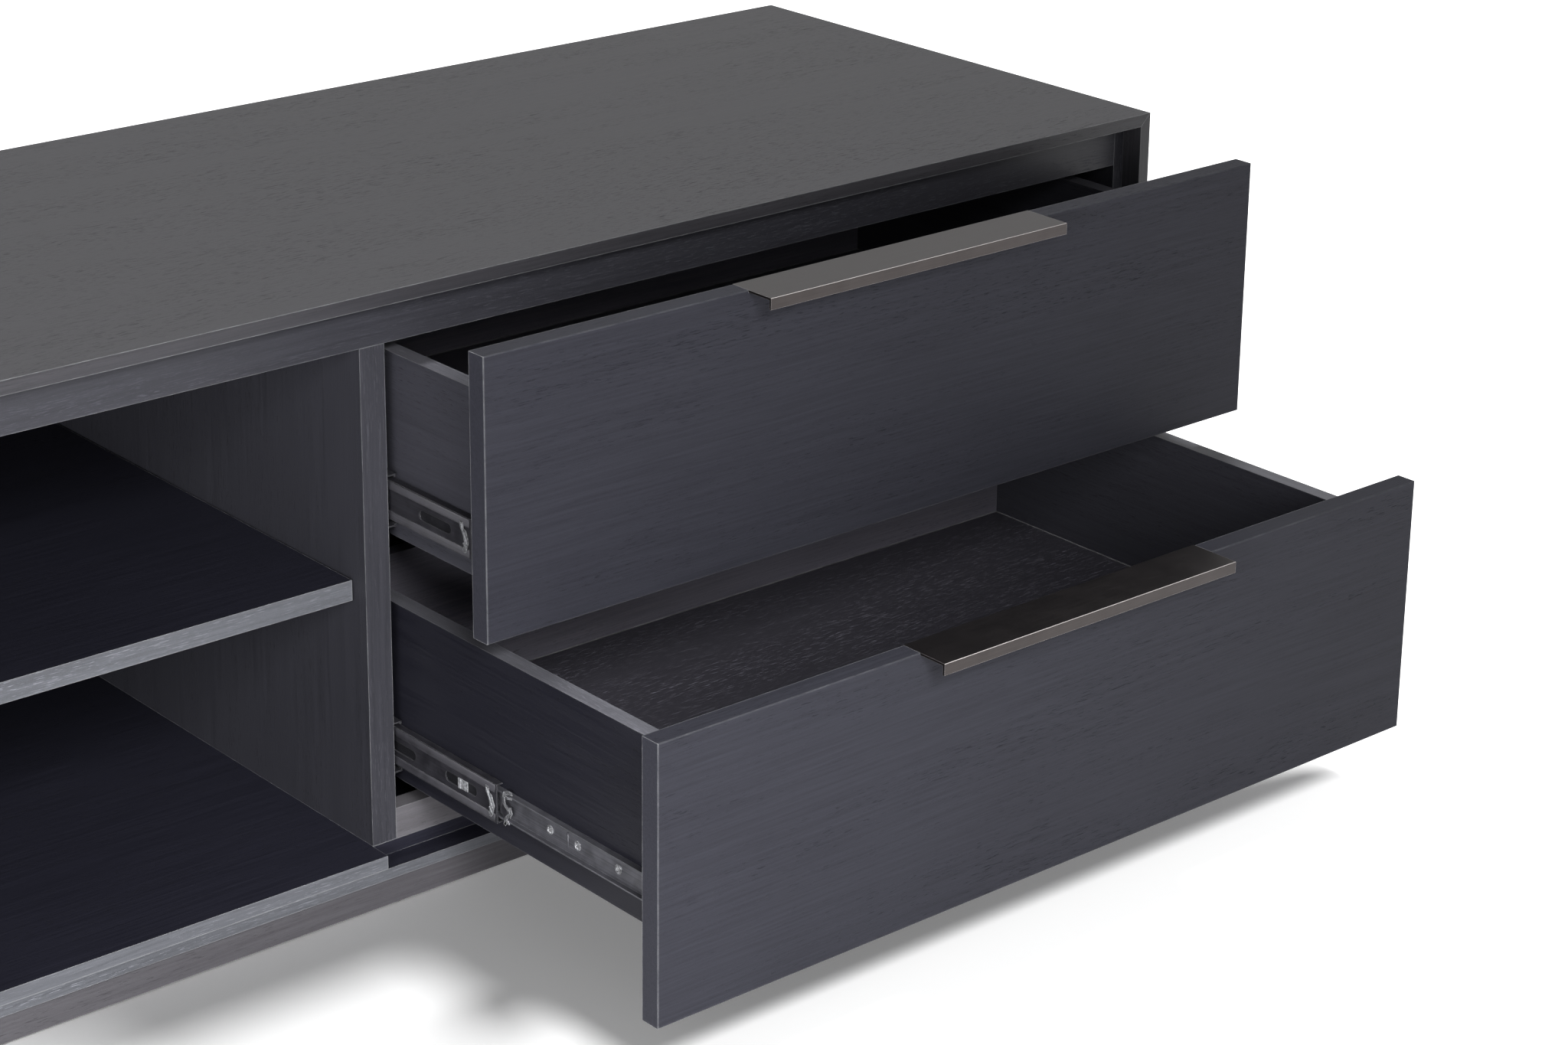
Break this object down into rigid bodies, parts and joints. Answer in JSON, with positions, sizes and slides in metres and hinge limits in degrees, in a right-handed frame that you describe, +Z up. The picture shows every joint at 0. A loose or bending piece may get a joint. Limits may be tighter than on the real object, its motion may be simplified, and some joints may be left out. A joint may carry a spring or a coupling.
{
  "type": "low dresser with drawers and an open bay",
  "caption": "Low dark oak dresser: an open bay with a shelf beside wide drawers, one above the other, with edge pulls and ball-bearing slides.",
  "frame": {"origin": "middle of the footprint of the dresser with its drawers at rest, on the floor under the glide pads", "axes": "+Z up, -Y the way the drawers open, +X to the right seen from the front, along the long side"},
  "size_m": [1.738, 0.933, 0.54],
  "materials": {
    "shell_veneer": "satin",
    "front_veneer": "satin",
    "lining_veneer": "satin",
    "drawer_wood": "satin",
    "inner_wood": "matte",
    "plinth_wood": "satin",
    "pull_metal": "brushed",
    "slide_steel": "satin",
    "zinc_steel": "satin",
    "glide_felt": "matte"
  },
  "bodies": {
    "carcass": {"back_panel": "inner_wood", "bay_rail": "lining_veneer", "bottom_panel": "shell_veneer", "divider": "lining_veneer", "floor_panel": "lining_veneer", "glide_pads": "glide_felt", "left_liner": "lining_veneer", "left_side_panel": "shell_veneer", "lower_left_outer_screws": "zinc_steel", "lower_left_slide_outer": "slide_steel", "lower_right_outer_screws": "zinc_steel", "lower_right_slide_outer": "slide_steel", "lower_slide_batten": "inner_wood", "plinth_brace": "plinth_wood", "plinth_front": "plinth_wood", "plinth_left": "plinth_wood", "plinth_rear": "plinth_wood", "plinth_right": "plinth_wood", "rear_rail": "lining_veneer", "right_liner": "lining_veneer", "right_side_panel": "shell_veneer", "shelf": "lining_veneer", "shelf_pins": "zinc_steel", "top_panel": "shell_veneer", "top_rail": "lining_veneer", "upper_left_outer_screws": "zinc_steel", "upper_left_slide_outer": "slide_steel", "upper_right_outer_screws": "zinc_steel", "upper_right_slide_outer": "slide_steel", "upper_slide_batten": "inner_wood"},
    "upper_drawer": {"upper_drawer_back": "drawer_wood", "upper_drawer_bottom": "drawer_wood", "upper_drawer_front": "front_veneer", "upper_drawer_left_side": "drawer_wood", "upper_drawer_right_side": "drawer_wood", "upper_left_inner_screws": "zinc_steel", "upper_left_slide_inner": "slide_steel", "upper_pull": "pull_metal", "upper_pull_screws": "zinc_steel", "upper_right_inner_screws": "zinc_steel", "upper_right_slide_inner": "slide_steel"},
    "upper_slide_middles": {"upper_left_slide_middle": "slide_steel", "upper_right_slide_middle": "slide_steel", "upper_slide_balls": "zinc_steel"},
    "lower_drawer": {"lower_drawer_back": "drawer_wood", "lower_drawer_bottom": "drawer_wood", "lower_drawer_front": "front_veneer", "lower_drawer_left_side": "drawer_wood", "lower_drawer_right_side": "drawer_wood", "lower_left_inner_screws": "zinc_steel", "lower_left_slide_inner": "slide_steel", "lower_pull": "pull_metal", "lower_pull_screws": "zinc_steel", "lower_right_inner_screws": "zinc_steel", "lower_right_slide_inner": "slide_steel"},
    "lower_slide_middles": {"lower_left_slide_middle": "slide_steel", "lower_right_slide_middle": "slide_steel", "lower_slide_balls": "zinc_steel"}
  },
  "joints": [
    {"name": "upper_drawer_slide", "type": "slide", "parent": "carcass", "child": "upper_drawer", "axis": [0, -1, 0], "range_m": [-0.142, 0.298]},
    {"name": "upper_middles_slide", "type": "slide", "parent": "carcass", "child": "upper_slide_middles", "axis": [0, -1, 0], "range_m": [-0.10934, 0.22946]},
    {"name": "lower_drawer_slide", "type": "slide", "parent": "carcass", "child": "lower_drawer", "axis": [0, -1, 0], "range_m": [-0.355, 0.085]},
    {"name": "lower_middles_slide", "type": "slide", "parent": "carcass", "child": "lower_slide_middles", "axis": [0, -1, 0], "range_m": [-0.13845, 0.03315]}
  ],
  "couplings": [
    {"joint": "upper_middles_slide", "follows": "upper_drawer_slide", "ratio": 0.77},
    {"joint": "lower_middles_slide", "follows": "lower_drawer_slide", "ratio": 0.39}
  ]
}
